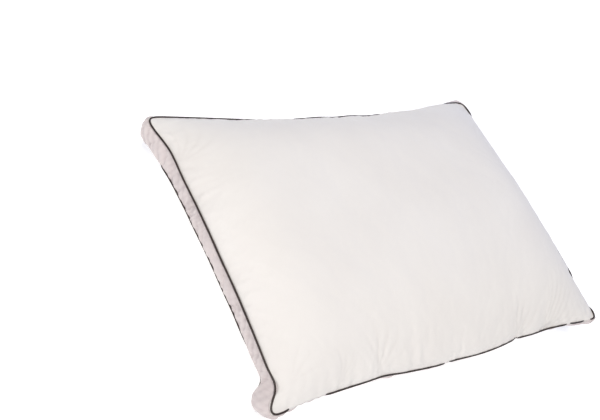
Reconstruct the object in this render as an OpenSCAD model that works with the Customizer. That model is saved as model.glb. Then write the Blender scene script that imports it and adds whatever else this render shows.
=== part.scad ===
// Bed pillow: two crowned cotton panels joined by a gusset strip all round, with corded
// piping sewn into both seams and a loose down filling. It lies on its bottom panel.
// The origin is in the middle of that panel, on the surface it lies on. +X runs along the
// long side, +Y along the short side and +Z points up.

/* [Casing] */
// Length between the seams of the two short sides
casing_l = 711; // [560:1:920]
// Width between the seams of the two long sides
casing_w = 508; // [400:1:560]
// Radius of the seams in plan at the four corners
corner_r = 22; // [20:1:50]
// Height of the gusset strip between its two seams
gusset_h = 38; // [30:1:60]
// Thickness of the downproof cotton
cloth_t = 0.6; // [0.5:0.1:0.8]
// Width of the seam allowance that turns in at each seam
allowance = 8; // [6:1:10]

/* [Filled shape] */
// Rise of the top panel above its seam
top_rise = 72; // [40:1:100]
// Drop that the bottom panel would have below its seam with nothing under it
bottom_drop = 62; // [50:1:100]
// Height of the bottom seam above the surface, which flattens the middle of the drop
bottom_seam_z = 46; // [32:1:48]
// How far the middle of each long side is drawn in by the filling
long_side_pull = 9; // [0:1:20]
// How far the middle of each short side is drawn in by the filling
short_side_pull = 14; // [0:1:24]
// How far the gusset bulges out between its seams
gusset_bulge = 5; // [1:1:8]

/* [Piping] */
// Diameter of the covered piping
piping_d = 3.2; // [2.8:0.1:4.4]
// Diameter of the cotton cord inside the piping
cord_d = 2; // [1.6:0.1:2.4]

/* [Sewing] */
// Diameter of the sewing thread
thread_d = 0.4; // [0.3:0.1:0.6]
// Length of the closed filling slot beside the bottom seam
slot_l = 160; // [80:1:240]
// Distance from one closing stitch to the next
stitch_pitch = 5; // [4:0.5:8]

/* [Care label] */
// Width of the blank label along the seam
label_w = 28; // [15:1:40]
// Height of the blank label as it hangs from the seam
label_h = 26; // [15:1:26]
// Distance of the label from the middle of the short side
label_y = 120; // [90:1:150]

/* [Hidden] */

half_l = casing_l / 2;
half_w = casing_w / 2;
top_seam_z = bottom_seam_z + gusset_h;
mid_seam_z = bottom_seam_z + gusset_h / 2;

// stations round the casing: equal steps on each straight side and in each corner
long_steps = 12;
short_steps = 8;
corner_steps = 5;
first_join = short_steps + corner_steps + long_steps / 2;
second_join = first_join + short_steps + 2 * corner_steps + long_steps;
station_count = 2 * (long_steps + short_steps) + 4 * corner_steps;

// shares of the way from the middle of a panel to its edge where its rings lie
ring_shares = [0.22, 0.42, 0.58, 0.7, 0.79, 0.86, 0.92, 0.96, 0.985, 1];
// exponents of the crown: how square it is over the panel, and how close to the edge it drops
crown_squareness = 2.2;
crown_edge = 16;

// small gap that keeps neighbouring cloths apart
gap = 0.1;
piping_r = piping_d / 2;
// room between the cord and its cover, and how much of the cover's wall its flat plies keep
cord_slack = 0.15;
ply_share = 0.8;
bore_r = cord_d / 2 + cord_slack;
// the piping's two plies hang side by side inside the gusset: inset of each face
ply_t = (piping_r - bore_r) * ply_share;
ply_a = gap;
ply_b = ply_a + ply_t + gap;
flange_end = ply_b + ply_t;
// the panel's own allowance lies inside the piping's plies
panel_allowance = flange_end + gap;
panel_edge = piping_r + gap;
// the filling stays clear of the allowances, the stitches and the panels' inner faces
fill_clearance = 0.8;
fill_inset = panel_edge + cloth_t + fill_clearance;

// the seam's stitches run this far below the middle of the piping
stitch_drop = 3.4;
stitch_inset = panel_allowance + cloth_t + gap + thread_d / 2;
// feet and head of the gusset strip, between the two pipings
gusset_foot = bottom_seam_z + piping_r + gap;
gusset_head = top_seam_z - piping_r - gap;
gusset_steps = 6;
join_pitch = 3;
// how much of its pitch each stitch covers, in the gusset joins and in the closing
join_stitch_share = 0.7;
closing_stitch_share = 0.6;
// height of the closing stitches above the gusset's foot
closing_rise = 2;
label_t = 0.3;

round_steps = 12;
cord_sides = 8;
thread_sides = 6;

cotton = [0.93, 0.92, 0.89];
gusset_cotton = [0.88, 0.85, 0.85];
piping_brown = [0.14, 0.11, 0.10];
undyed = [0.86, 0.82, 0.74];
white = [0.97, 0.97, 0.97];

// --- outline of the casing ---------------------------------------------------------

function line_points(a, b, steps) = [for (i = [0:steps - 1]) a + (b - a) * i / steps];

function corner_points(x, y, r, from) =
    [for (i = [0:corner_steps - 1])
        let (a = from + 90 * i / corner_steps) [x + r * cos(a), y + r * sin(a)]];

// plain rounded rectangle, anticlockwise, drawn in by inset on every side
function plain_outline(inset) =
    let (r = corner_r - inset, x = half_l - inset, y = half_w - inset)
    concat(
        line_points([x, r - y], [x, y - r], short_steps),
        corner_points(x - r, y - r, r, 0),
        line_points([x - r, y], [r - x, y], long_steps),
        corner_points(r - x, y - r, r, 90),
        line_points([-x, y - r], [-x, r - y], short_steps),
        corner_points(r - x, r - y, r, 180),
        line_points([r - x, -y], [x - r, -y], long_steps),
        corner_points(x - r, r - y, r, 270)
    );

// the filling draws each side in, most at its middle and not at all at the corners
function drawn_in(p) =
    [p.x * (1 - short_side_pull / half_l * cos(90 * min(1, abs(p.y) / half_w))),
     p.y * (1 - long_side_pull / half_w * cos(90 * min(1, abs(p.x) / half_l)))];

function at_height(p, z) = [p.x, p.y, z];

function ring(inset, z) = [for (p = plain_outline(inset)) at_height(drawn_in(p), z)];

// --- crown of a filled panel: 1 in the middle, 0 along the seam ------------------------

function share_left(d, half) = max(0, 1 - pow(min(1, abs(d) / half), crown_squareness));

function crown(p, share) =
    sqrt(share_left(p.x, half_l - panel_edge) * share_left(p.y, half_w - panel_edge))
    * off_edge(share);

// 0 along the seam and 1 over nearly all of a panel
function off_edge(share) = sqrt(1 - pow(share, crown_edge));

// one ring of a panel's surface, which rises from its seam as far as a flat highest level.
// under is how far the surface lies below the panel's outer face
function panel_ring(inset, share, seam, rise, highest, under) =
    [for (q = plain_outline(inset))
        let (p = q * share, top = seam + rise * crown(p, share) - under * off_edge(share))
        at_height(drawn_in(p), min(highest - under, top))];

// --- solids from rings --------------------------------------------------------------------

// the surface between two neighbouring rings, each of its quads split into two triangles.
// The two faces of a cloth are split along the same diagonals, so they stay the same distance apart
function band(a, b, n, back = false) =
    [for (i = [0:n - 1], half = [0, 1])
        let (j = (i + 1) % n)
        back ? (half == 0 ? [a + i, a + j, b + i] : [a + j, b + j, b + i])
            : (half == 0 ? [a + i, a + j, b + j] : [a + i, b + j, b + i])];

function flattened(lists) = [for (l = lists, item = l) item];

// a solid skinned over rings that run from a pole above the first to a pole beyond the last
module skinned(first_pole, rings, last_pole) {
    n = station_count;
    count = len(rings);
    last = n * count + 1;
    first_fan = [for (i = [0:n - 1]) [0, 1 + (i + 1) % n, 1 + i]];
    last_fan = [for (i = [0:n - 1]) [last, last - n + i, last - n + (i + 1) % n]];
    bands = flattened([for (k = [0:count - 2])
        band(1 + k * n, 1 + (k + 1) * n, n, back = k >= count / 2)]);
    polyhedron(
        points = concat([first_pole], flattened(rings), [last_pole]),
        faces = concat(first_fan, bands, last_fan)
    );
}

// a closed loop round the casing whose cross section is a list of [inset, height]
module looped(profile) {
    n = station_count;
    count = len(profile);
    polyhedron(
        points = flattened([for (v = profile) ring(v[0], v[1])]),
        faces = flattened([for (k = [0:count - 1]) band(k * n, ((k + 1) % count) * n, n)])
    );
}

// part of such a loop, from one station to another, with flat ends
module strip(profile, from, to) {
    n = to - from + 1;
    count = len(profile);
    sides = [for (k = [0:count - 1], i = [0:n - 2], half = [0, 1])
        let (a = k * n + i, b = ((k + 1) % count) * n + i)
        half == 0 ? [a, a + 1, b + 1] : [a, b + 1, b]];
    near_end = [[for (k = [0:count - 1]) k * n]];
    far_end = [[for (k = [count - 1:-1:0]) k * n + n - 1]];
    polyhedron(
        points = flattened([for (v = profile)
            let (all = ring(v[0], v[1])) [for (i = [from:to]) all[i % station_count]]]),
        faces = concat(sides, near_end, far_end)
    );
}

// --- cross sections, each anticlockwise with inset to the right and height up --------------

function arc_profile(r, from, to, z) =
    [for (i = [0:round_steps])
        let (a = from + (to - from) * i / round_steps) [r * cos(a), z + r * sin(a)]];

// angle below the horizontal at which a circle of this radius reaches this inset
function dip(r, inset) = acos(inset / r);

function round_profile(inset, z, r, sides) =
    [for (i = [0:sides - 1]) [inset + r * cos(360 * i / sides), z + r * sin(360 * i / sides)]];

// a strip of cloth folded round the cord, its two plies hanging down inside the gusset
function piping_profile(z) =
    concat(
        arc_profile(piping_r, -dip(piping_r, flange_end), 360 - dip(piping_r, ply_a), z),
        [[ply_a, z - allowance], [ply_a + ply_t, z - allowance]],
        arc_profile(bore_r, 360 - dip(bore_r, ply_a + ply_t), -dip(bore_r, ply_b), z),
        [[ply_b, z - allowance], [flange_end, z - allowance]]
    );

// height and bulge of the gusset at a share of the way up from its foot to its head
function gusset_z(share) = gusset_foot + (gusset_head - gusset_foot) * share;
function bulge_at(share) = gusset_bulge * (1 - pow(2 * share - 1, 2));

// the gusset stands between the two pipings and bulges out between them
function gusset_profile() =
    concat(
        [for (i = [0:gusset_steps]) [-bulge_at(i / gusset_steps), gusset_z(i / gusset_steps)]],
        [for (i = [gusset_steps:-1:0])
            [-cloth_t - bulge_at(i / gusset_steps), gusset_z(i / gusset_steps)]]
    );

// --- panels -------------------------------------------------------------------------------

// a ring in the part of a panel that wraps the inner side of the piping, at an angle below it
function wrap_ring(r, dip_angle, seam) = ring(r * cos(dip_angle), seam - r * sin(dip_angle));

// a panel rises from its seam, and its edge turns down inside the piping's plies
module panel(seam, rise, highest) {
    back_edge = panel_edge + cloth_t;
    back_allowance = panel_allowance + cloth_t;
    face_dip = dip(panel_edge, panel_allowance);
    back_dip = dip(back_edge, back_allowance);
    face = [for (share = ring_shares) panel_ring(panel_edge, share, seam, rise, highest, 0)];
    turned_edge = [
        wrap_ring(panel_edge, face_dip / 2, seam),
        wrap_ring(panel_edge, face_dip, seam),
        ring(panel_allowance, seam - allowance),
        ring(back_allowance, seam - allowance),
        wrap_ring(back_edge, back_dip, seam),
        wrap_ring(back_edge, back_dip / 2, seam)
    ];
    back = [for (i = [len(ring_shares) - 1:-1:0])
        panel_ring(back_edge, ring_shares[i], seam, rise, highest, cloth_t)];
    skinned([0, 0, highest], concat(face, turned_edge, back), [0, 0, highest - cloth_t]);
}

module top_panel() {
    color(cotton)
        panel(top_seam_z, top_rise, top_seam_z + top_rise);
}

// the bottom panel is the same work the other way up, flattened where it lies
module bottom_panel() {
    color(cotton)
        mirror([0, 0, 1])
            panel(-bottom_seam_z, bottom_drop, 0);
}

// --- gusset ---------------------------------------------------------------------------------

module gusset_left() {
    color(gusset_cotton)
        strip(gusset_profile(), first_join, second_join);
}

module gusset_right() {
    color(gusset_cotton)
        strip(gusset_profile(), second_join, first_join + station_count);
}

// a row of short stitches down the inner face of the gusset at each join of its two strips
module gusset_join_threads() {
    count = floor((gusset_head - gusset_foot) / join_pitch);
    color(white)
        for (side = [-1, 1], i = [0:count - 1]) {
            share = (i + 0.5) / count;
            y = half_w - long_side_pull + bulge_at(share) - thread_d;
            translate([0, side * y, gusset_z(share)])
                cylinder(h = join_pitch * join_stitch_share, d = thread_d, center = true,
                    $fn = thread_sides);
        }
}

// --- piping -----------------------------------------------------------------------------------

// what is sewn into the top seam, turned over about the middle of the gusset for the bottom one
module at_bottom_seam() {
    translate([0, 0, mid_seam_z])
        mirror([0, 0, 1])
            translate([0, 0, -mid_seam_z])
                children();
}

module piping_cover() {
    color(piping_brown)
        looped(piping_profile(top_seam_z));
}

module piping_cord() {
    color(undyed)
        looped(round_profile(0, top_seam_z, cord_d / 2, cord_sides));
}

module seam_thread() {
    color(white)
        looped(round_profile(stitch_inset, top_seam_z - stitch_drop, thread_d / 2, thread_sides));
}

module top_piping_cover() { piping_cover(); }
module top_piping_cord() { piping_cord(); }
module top_seam_thread() { seam_thread(); }
module bottom_piping_cover() { at_bottom_seam() piping_cover(); }
module bottom_piping_cord() { at_bottom_seam() piping_cord(); }
module bottom_seam_thread() { at_bottom_seam() seam_thread(); }

// --- closing of the filling slot -----------------------------------------------------------

// the right-hand short side's seam in plan
function right_side_x(y) = half_l - short_side_pull * cos(90 * y / half_w);

// a row of stitches low on the right-hand gusset, where the casing was filled
module closing_stitches() {
    count = floor(slot_l / stitch_pitch);
    share = closing_rise / (gusset_head - gusset_foot);
    proud = cloth_t + bulge_at(share) + thread_d;
    color(white)
        for (i = [0:count - 1]) {
            y = (i + 0.5 - count / 2) * stitch_pitch;
            translate([right_side_x(y) + proud, y, gusset_z(share)])
                rotate([90, 0, 0])
                    cylinder(h = stitch_pitch * closing_stitch_share, d = thread_d, center = true,
                        $fn = thread_sides);
        }
}

// --- filling -----------------------------------------------------------------------------------

// the loose down takes the shape of the casing, just inside it
module down_fill() {
    under = cloth_t + fill_clearance;
    clear_of_allowance = allowance + under;
    top = top_seam_z + top_rise;
    top_rings = [for (share = ring_shares)
        panel_ring(fill_inset, share, top_seam_z, top_rise, top, under)];
    wall_rings = [
        ring(fill_inset, top_seam_z - clear_of_allowance),
        ring(fill_inset - gusset_bulge, mid_seam_z),
        ring(fill_inset, bottom_seam_z + clear_of_allowance)
    ];
    bottom_rings = [for (i = [len(ring_shares) - 1:-1:0])
        [for (q = panel_ring(fill_inset, ring_shares[i], -bottom_seam_z, bottom_drop, 0, under))
            [q.x, q.y, -q.z]]];
    color(undyed)
        skinned([0, 0, top - under], concat(top_rings, wall_rings, bottom_rings), [0, 0, under]);
}

// --- label -------------------------------------------------------------------------------------

// a blank tape, folded double, that hangs from the bottom seam of the right-hand short side
module care_label() {
    drop = bottom_seam_z - piping_r - gap;
    color(white)
        translate([right_side_x(label_y), label_y - label_w / 2, drop - label_h]) {
            cube([label_t, label_w, label_h]);
            cube([2 * label_t + gap, label_w, label_t]);
            translate([label_t + gap, 0, 0])
                cube([label_t, label_w, label_h]);
        }
}

top_panel();
bottom_panel();
gusset_left();
gusset_right();
top_piping_cover();
top_piping_cord();
bottom_piping_cover();
bottom_piping_cord();
top_seam_thread();
bottom_seam_thread();
gusset_join_threads();
closing_stitches();
down_fill();
care_label();
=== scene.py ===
# %% [markdown]
# A filled bed pillow, made as its maker would make it. Two panels of downproof cotton are joined by
# a narrow strip, the gusset, and a dark satin piping is sewn into both seams. The casing is cut
# flat, filled until it swells, and left to lie on the floor. Every piece stands for a part of the
# CAD model, which is read first because all places and sizes come from it.

import math

import bpy
import numpy as np
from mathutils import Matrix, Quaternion, Vector


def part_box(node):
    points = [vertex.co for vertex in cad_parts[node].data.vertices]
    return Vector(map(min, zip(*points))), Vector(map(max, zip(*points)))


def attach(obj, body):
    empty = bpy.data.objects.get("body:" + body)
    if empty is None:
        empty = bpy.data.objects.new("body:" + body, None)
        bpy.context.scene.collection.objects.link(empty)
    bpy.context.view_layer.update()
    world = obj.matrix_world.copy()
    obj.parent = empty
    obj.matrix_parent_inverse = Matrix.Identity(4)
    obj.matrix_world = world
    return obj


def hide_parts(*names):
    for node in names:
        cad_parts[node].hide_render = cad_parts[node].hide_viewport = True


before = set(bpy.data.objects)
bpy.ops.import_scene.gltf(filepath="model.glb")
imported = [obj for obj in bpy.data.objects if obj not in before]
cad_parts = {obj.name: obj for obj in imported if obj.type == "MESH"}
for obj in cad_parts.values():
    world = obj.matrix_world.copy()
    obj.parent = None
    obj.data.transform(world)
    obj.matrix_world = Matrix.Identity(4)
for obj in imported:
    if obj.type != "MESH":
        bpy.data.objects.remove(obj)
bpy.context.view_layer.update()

# %% [markdown]
# The camera looks down on one end of the pillow, and it is rolled, so that the long side runs
# across the picture. Blender can aim a camera with a constraint, but two angles and a roll are
# easier to read, and they leave nothing live in the file.

# %% Camera
AZIMUTH = math.radians(-55.84)
ELEVATION = math.radians(45.1)
ROLL = math.radians(38.5)

top_cord_low, top_cord_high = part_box("top_piping_cord")
top_seam_z = (top_cord_low.z + top_cord_high.z) / 2
toward_camera = Vector((
    math.sin(AZIMUTH) * math.cos(ELEVATION),
    -math.cos(AZIMUTH) * math.cos(ELEVATION),
    math.sin(ELEVATION),
))
camera_data = bpy.data.cameras.new("camera")
camera_data.sensor_width = 36
camera_data.lens = 53.1
camera = bpy.data.objects.new("camera", camera_data)
camera.location = (-0.994, -0.516, top_seam_z + 1.013)
camera.rotation_mode = "QUATERNION"
camera.rotation_quaternion = (-toward_camera).to_track_quat("-Z", "Y") @ Quaternion((0, 0, 1), ROLL)
bpy.context.scene.collection.objects.link(camera)
bpy.context.scene.camera = camera
print("camera", [round(x, 3) for x in camera.location])

# %% [markdown]
# Soft white goods need broad light. One large panel high over the near end models the crown, a cool
# one beyond the far end tints the slope that turns away, a faint warm one lights the near gusset,
# and the pale surroundings fill the rest.

# %% Light
def soft_light(name, place, target, size, power, colour):
    """A square light panel of that size, turned to face the target."""
    data = bpy.data.lights.new(name, "AREA")
    data.size = size
    data.energy = power
    data.color = colour
    lamp = bpy.data.objects.new(name, data)
    lamp.location = place
    lamp.rotation_mode = "QUATERNION"
    lamp.rotation_quaternion = (Vector(target) - Vector(place)).to_track_quat("-Z", "Y")
    bpy.context.scene.collection.objects.link(lamp)


soft_light("key", (-1.1, -0.6, 3.1), (0, 0, 0.1), 1.6, 69, (1.0, 0.965, 0.925))
soft_light("cool_far", (2.4, 1.2, 0.9), (0.2, 0, 0.1), 1.4, 12, (0.42, 0.52, 1.0))
soft_light("warm_near", (-2.4, -0.7, 0.7), (-0.3, 0, 0.05), 1.4, 3, (1.0, 0.86, 0.84))
world = bpy.data.worlds.new("studio")
world.use_nodes = True
world.node_tree.nodes["Background"].inputs["Color"].default_value = (0.90, 0.93, 1, 1)
world.node_tree.nodes["Background"].inputs["Strength"].default_value = 0.44
bpy.context.scene.world = world
bpy.context.scene.view_settings.view_transform = "Standard"

# %% [markdown]
# Every piece is put into its mesh in the same way: an array of points, an array of four-cornered
# faces, and for each point a place on the flat cloth, in metres, which the weave follows. Short
# functions keep that in one place.

# %% Making a piece
def new_piece(name, points, faces, cloth=None, marks=None):
    """A smooth mesh object. cloth gives each point's place on the flat cloth, and marks other numbers."""
    mesh = bpy.data.meshes.new(name)
    mesh.from_pydata(points.tolist(), [], faces.tolist())
    corners = np.empty(len(mesh.loops), np.int32)
    mesh.loops.foreach_get("vertex_index", corners)
    if cloth is not None:
        layer = mesh.uv_layers.new(name="cloth")
        layer.data.foreach_set("uv", cloth[corners].astype(np.float32).ravel())
    for key, values in (marks or {}).items():
        attribute = mesh.attributes.new(key, "FLOAT", "POINT")
        attribute.data.foreach_set("value", values.astype(np.float32))
    mesh.polygons.foreach_set("use_smooth", np.ones(len(mesh.polygons), bool))
    mesh.update()
    piece = bpy.data.objects.new(name, mesh)
    bpy.context.scene.collection.objects.link(piece)
    return piece


def cloth_thickness(piece, thickness):
    """Gives an open surface its second side, towards the inside."""
    shell = piece.modifiers.new("cloth thickness", "SOLIDIFY")
    shell.thickness = thickness
    shell.offset = -1


def hand_in(piece, node, material):
    """The piece takes its finish and its body, and the CAD node that it stands for is hidden."""
    piece.data.materials.append(material)
    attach(piece, "root")
    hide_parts(node)
    print(piece.name, len(piece.data.polygons), "faces")


def grid_index(points):
    """The numbers of a grid's points, row by row."""
    return np.arange(points.shape[0] * points.shape[1]).reshape(points.shape[:2])


def grid_faces(index, closed=False):
    """The four-cornered faces between the rows of an index grid; closed joins the last row to the first."""
    if closed:
        index = np.concatenate([index, index[:1]])
    a, b = index[:-1, :-1], index[1:, :-1]
    c, d = index[1:, 1:], index[:-1, 1:]
    return np.stack([a, b, c, d], -1).reshape(-1, 4)


# %% [markdown]
# A finish is a small tree of nodes. These helpers add a node with its settings, work out a number,
# blend two colours by one, raise the surface, make noise and find the place on the flat cloth, so
# that each finish below reads as a recipe.

# %% Making a finish
def new_finish(name):
    """A material with its node tree and its Principled shader."""
    material = bpy.data.materials.new(name)
    material.use_nodes = True
    return material, material.node_tree, material.node_tree.nodes["Principled BSDF"]


def add_node(tree, kind, inputs=None, **settings):
    """A node with its settings; an input is a number or the output that feeds it."""
    made = tree.nodes.new(kind)
    for key, value in settings.items():
        setattr(made, key, value)
    for key, value in (inputs or {}).items():
        if isinstance(value, bpy.types.NodeSocket):
            tree.links.new(value, made.inputs[key])
        else:
            made.inputs[key].default_value = value
    return made


def number(tree, operation, a, b):
    """The output of one Math node."""
    return add_node(tree, "ShaderNodeMath", {0: a, 1: b}, operation=operation).outputs[0]


def two_colours(tree, factor, low, high, start=0.0, end=1.0):
    """A ramp from one colour to another as factor goes from start to end."""
    ramp = add_node(tree, "ShaderNodeValToRGB", {"Fac": factor})
    ramp.color_ramp.elements[0].position = start
    ramp.color_ramp.elements[0].color = (*low, 1)
    ramp.color_ramp.elements[1].position = end
    ramp.color_ramp.elements[1].color = (*high, 1)
    return ramp.outputs["Color"]


def raised(tree, height, distance, strength=1.0, under=None):
    """A Bump node's normal, on top of another one if it is given."""
    inputs = {"Height": height, "Distance": distance, "Strength": strength}
    if under is not None:
        inputs["Normal"] = under
    return add_node(tree, "ShaderNodeBump", inputs).outputs["Normal"]


def noise(tree, place, scale, detail, distortion=0.0):
    """Strength of a noise texture: grain where the scale is high, clouds where it is low."""
    settings = {"Vector": place, "Scale": scale, "Detail": detail, "Distortion": distortion}
    return add_node(tree, "ShaderNodeTexNoise", settings).outputs["Fac"]


def cloth_measures(tree):
    """The place on the flat cloth, in metres, that new_piece stores with each point."""
    return add_node(tree, "ShaderNodeUVMap", uv_map="cloth").outputs["UV"]


# %% [markdown]
# The floor is a plain pale light table, which glows a little from below, so that the shadows stay
# faint. It is staging, not part of the pillow.

# %% Floor
FLOOR_HALF = 8.0

corners = np.array([(-1, -1, 0), (1, -1, 0), (1, 1, 0), (-1, 1, 0)]) * FLOOR_HALF
floor = new_piece("floor", corners, np.array([[0, 1, 2, 3]]))
floor_finish, tree, shader = new_finish("pale floor")
place = add_node(tree, "ShaderNodeTexCoord").outputs["Object"]
grain = add_node(tree, "ShaderNodeTexNoise", {"Vector": place, "Scale": 3.0}).outputs["Fac"]
tree.links.new(two_colours(tree, grain, (0.97, 0.97, 0.97), (1.0, 1.0, 1.0)), shader.inputs["Base Color"])
shader.inputs["Roughness"].default_value = 0.9
shader.inputs["Specular IOR Level"].default_value = 0.0
shader.inputs["Emission Color"].default_value = (1, 1, 1, 1)
shader.inputs["Emission Strength"].default_value = 0.35
floor.data.materials.append(floor_finish)

# %% [markdown]
# The casing's sizes come from the CAD pieces: the seams' heights from the piping cords, and the
# length and width across the seams from the piping's outside.

# %% Sizes
bottom_cord_low, bottom_cord_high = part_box("bottom_piping_cord")
bottom_seam_z = (bottom_cord_low.z + bottom_cord_high.z) / 2
cord_r = (top_cord_high.z - top_cord_low.z) / 2
cover_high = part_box("top_piping_cover")[1]
cover_r = cover_high.z - top_seam_z
half_l = cover_high.x
half_w = cover_high.y
gusset_h = top_seam_z - bottom_seam_z
crown_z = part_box("top_panel")[1].z
print(f"seams {2 * half_l:.3f} by {2 * half_w:.3f} m at {bottom_seam_z:.3f} and {top_seam_z:.3f} m")

# %% [markdown]
# The flat casing. A real one is cut from cloth as two rectangles with rounded corners and a long
# strip. Here each panel is a grid of squares whose corner squares are squeezed into quarter
# circles, and rows of squares between the two edges are the gusset. A square grid with no long or
# thin faces is what a cloth simulation likes best.

# %% Cutting the casing
CORNER = 0.016
CELL = 0.006


def flat_panel(count_x, count_y):
    """Grids of x and y. Beyond the corner's centre at (a, b) of the way to the edge, a square is squeezed
    into a disc: x = r a sqrt(1 - b b / 2) and y = r b sqrt(1 - a a / 2)."""
    x, y = np.meshgrid(
        np.linspace(-half_l, half_l, count_x + 1),
        np.linspace(-half_w, half_w, count_y + 1),
        indexing="ij",
    )
    a = np.clip((np.abs(x) - half_l + CORNER) / CORNER, 0, 1)
    b = np.clip((np.abs(y) - half_w + CORNER) / CORNER, 0, 1)
    round_x = np.sign(x) * (half_l - CORNER + CORNER * a * np.sqrt(1 - b * b / 2))
    round_y = np.sign(y) * (half_w - CORNER + CORNER * b * np.sqrt(1 - a * a / 2))
    in_corner = (a > 0) & (b > 0)
    return np.where(in_corner, round_x, x), np.where(in_corner, round_y, y)


cells_x = 2 * round(half_l / CELL)
cells_y = round(2 * half_w / CELL)
cells_z = round(gusset_h / CELL)
flat_x, flat_y = flat_panel(cells_x, cells_y)
panel_index = np.arange(flat_x.size).reshape(flat_x.shape)
seam = np.concatenate([
    panel_index[:-1, 0],
    panel_index[-1, :-1],
    panel_index[::-1, -1][:-1],
    panel_index[0, ::-1][:-1],
])
top_count = flat_x.size
wall_start = 2 * top_count
outline = np.stack([flat_x.ravel()[seam], flat_y.ravel()[seam]], 1)
print("seam", len(seam), "points, panel", flat_x.shape)

# %% [markdown]
# The two flat panels and the gusset between them share the points of the seams, so the cloth can be
# simulated as one closed casing.

# %% Flat casing as one mesh
levels = np.linspace(gusset_h / 2, -gusset_h / 2, cells_z + 1)
flat_xy = np.stack([flat_x.ravel(), flat_y.ravel()], 1)
flat_points = np.concatenate([
    np.column_stack([flat_xy, np.full(top_count, levels[0])]),
    np.column_stack([flat_xy, np.full(top_count, levels[-1])]),
    *[np.column_stack([outline, np.full(len(seam), level)]) for level in levels[1:-1]],
])
wall_rows = [seam]
wall_rows += [wall_start + row * len(seam) + np.arange(len(seam)) for row in range(cells_z - 1)]
wall_rows += [seam + top_count]
wall_index = np.stack(wall_rows, 1)
casing_faces = np.concatenate([
    grid_faces(panel_index),
    grid_faces(panel_index)[:, ::-1] + top_count,
    grid_faces(wall_index, closed=True)[:, ::-1],
])
print("casing", len(flat_points), "points")

# %% [markdown]
# Filling. Down pushes outward everywhere with the same soft pressure, so the casing is a cloth
# with air pressure inside and no gravity. The seams are drawn in by a few hundredths, as a sewn
# seam always is, so the panels gather beside them. Sculpting such puckers by hand is possible, but
# the simulation gives the way the sides pull in between the corners at the same time. The run
# stops while the middle is still rather flat.

# %% Filling the casing
FILL_FRAMES = 20
FILL_VOLUME = 0.050
SEAM_DRAW = 0.03
START_RISE = 0.020
SEAM_BENDING = 3.0

rng = np.random.default_rng(3)
start = flat_points.copy()
crown_x = np.clip(1 - (flat_xy[:, 0] / half_l) ** 2, 0, 1)
crown_y = np.clip(1 - (flat_xy[:, 1] / half_w) ** 2, 0, 1)
start[:top_count, 2] += START_RISE * np.sqrt(crown_x * crown_y)
start[top_count:wall_start, 2] -= START_RISE * np.sqrt(crown_x * crown_y)
start[:wall_start, 2] += rng.normal(0, 0.0006, wall_start)


def fill_casing():
    """Steps the cloth from its flat cut to the filled shape, and gives its points."""
    mesh = bpy.data.meshes.new("casing being filled")
    mesh.from_pydata(start.tolist(), [], casing_faces.tolist())
    casing = bpy.data.objects.new("casing_being_filled", mesh)
    bpy.context.scene.collection.objects.link(casing)
    casing.shape_key_add(name="as placed")
    cut = casing.shape_key_add(name="as cut")
    cut.data.foreach_set("co", flat_points.ravel())
    seams = casing.vertex_groups.new(name="seams")
    seams.add([int(i) for i in (*seam, *(seam + top_count))], 1.0, "REPLACE")
    cloth = casing.modifiers.new("filling", "CLOTH")
    cloth.collision_settings.use_collision = False
    cloth.point_cache.frame_start = 1
    cloth.point_cache.frame_end = FILL_FRAMES + 5
    facts = cloth.settings
    facts.quality = 5
    facts.mass = 0.0125
    facts.tension_stiffness = 60
    facts.compression_stiffness = 30
    facts.shear_stiffness = 10
    facts.bending_stiffness = 0.05
    facts.air_damping = 2
    facts.use_pressure = True
    facts.uniform_pressure_force = 1
    facts.use_pressure_volume = True
    facts.target_volume = FILL_VOLUME
    facts.effector_weights.gravity = 0
    facts.rest_shape_key = cut
    facts.shrink_max = SEAM_DRAW
    facts.vertex_group_shrink = "seams"
    facts.vertex_group_bending = "seams"
    facts.bending_stiffness_max = SEAM_BENDING
    for step in range(1, FILL_FRAMES + 1):
        bpy.context.scene.frame_set(step)
    swollen = casing.evaluated_get(bpy.context.evaluated_depsgraph_get()).to_mesh()
    points = np.empty(3 * len(swollen.vertices), np.float32)
    swollen.vertices.foreach_get("co", points)
    bpy.data.objects.remove(casing)
    bpy.context.scene.frame_set(1)
    return points.reshape(-1, 3).astype(float)


filled = fill_casing()
print("filled", filled.min(0).round(4), filled.max(0).round(4))

# %% [markdown]
# The simulation settles at its own size, so the casing is set back to the CAD's: the corners to
# their places, the two seams to their heights, and the crown to its height above them.

# %% Setting the size
BELOW_SEAM = 0.058
top = slice(0, top_count)
bottom = slice(top_count, wall_start)


def to_size(points):
    """Scales each direction so that the corners, the seams and the crown are at the CAD's places."""
    sized = points.copy()
    loop = sized[seam]
    near_corner = (np.abs(outline[:, 0]) > half_l - 0.05) & (np.abs(outline[:, 1]) > half_w - 0.05)
    for axis, half in ((0, half_l), (1, half_w)):
        sized[:, axis] -= (loop[:, axis].max() + loop[:, axis].min()) / 2
        reach = np.sort(np.abs(sized[seam][near_corner, axis]))[-24:].mean()
        sized[:, axis] *= half / reach
    top_z = points[seam, 2].mean()
    bottom_z = points[seam + top_count, 2].mean()
    rise = np.percentile(points[top, 2], 99.5) - top_z
    drop = bottom_z - np.percentile(points[bottom, 2], 0.5)
    sized[top, 2] = top_seam_z + (points[top, 2] - top_z) * (crown_z - top_seam_z) / rise
    sized[bottom, 2] = bottom_seam_z + (points[bottom, 2] - bottom_z) * BELOW_SEAM / drop
    wall = slice(wall_start, None)
    sized[wall, 2] = bottom_seam_z + (points[wall, 2] - bottom_z) * gusset_h / (top_z - bottom_z)
    return sized


casing = to_size(filled)
print("sized", casing.min(0).round(4), casing.max(0).round(4))

# %% [markdown]
# Down fills the middle evenly, so the creases that the simulation leaves there are smoothed away,
# and only those beside the seams stay sharp. The smoothing is a weighted average over the grid.

# %% Smoothing the middle
SMOOTH_CELLS = 7
CREASES_KEPT = 0.07
SEAM_CREASES = 0.34
SHARP_BAND = 0.010
FADE = 0.022


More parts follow.
